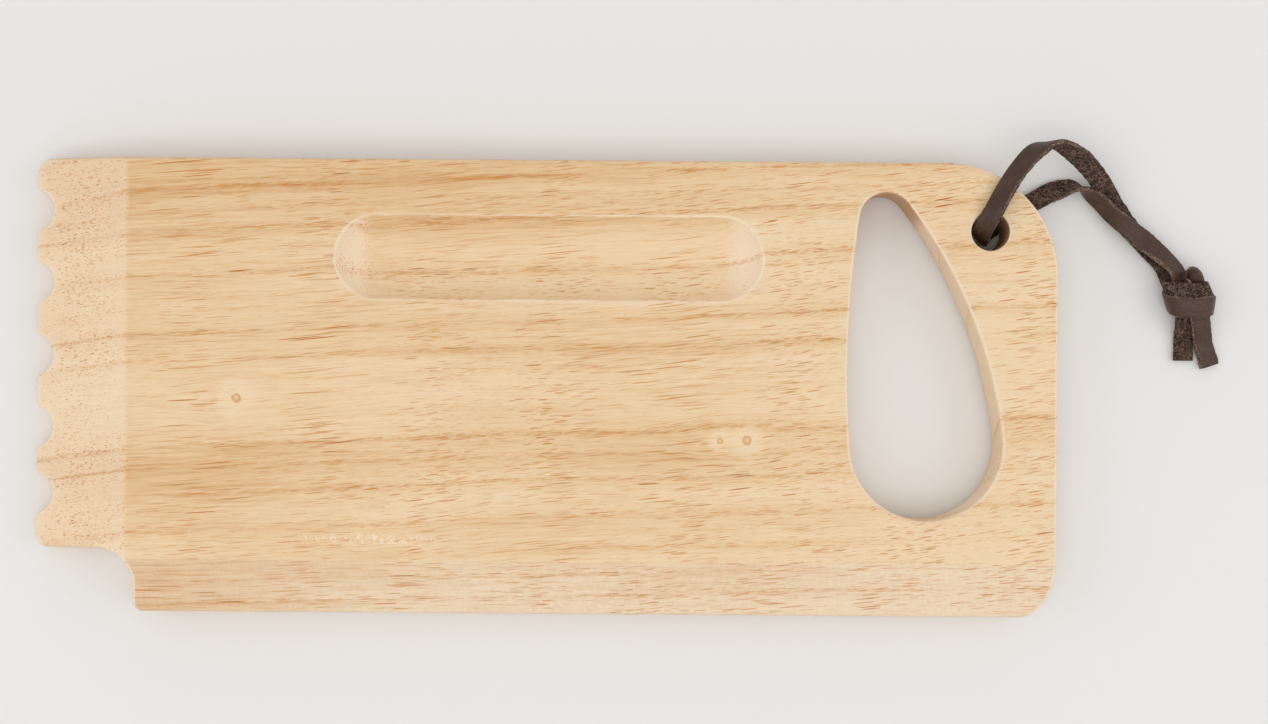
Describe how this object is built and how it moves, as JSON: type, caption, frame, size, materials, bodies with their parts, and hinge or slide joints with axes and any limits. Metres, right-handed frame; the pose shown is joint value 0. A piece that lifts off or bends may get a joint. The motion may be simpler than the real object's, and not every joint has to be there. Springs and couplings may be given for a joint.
{
  "type": "grill scraper",
  "caption": "Wooden grill scraper board with a notched, bevelled end, a finger groove, a hand opening and a knotted leather hanging lace.",
  "frame": {"origin": "middle of the board's back face, without the lace", "axes": "+X to the handle end, +Y to the edge with the finger groove, +Z out of the bevelled front face"},
  "size_m": [0.4037, 0.1612, 0.0239],
  "materials": {
    "wood_wide_stave": "sanded, bare",
    "wood_narrow_stave": "sanded, bare",
    "lace_leather": "waxed grain side, fuzzy flesh side"
  },
  "bodies": {
    "root": {"wide_stave": "wood_wide_stave", "narrow_stave": "wood_narrow_stave", "leather_lace": "lace_leather"}
  },
  "joints": []
}
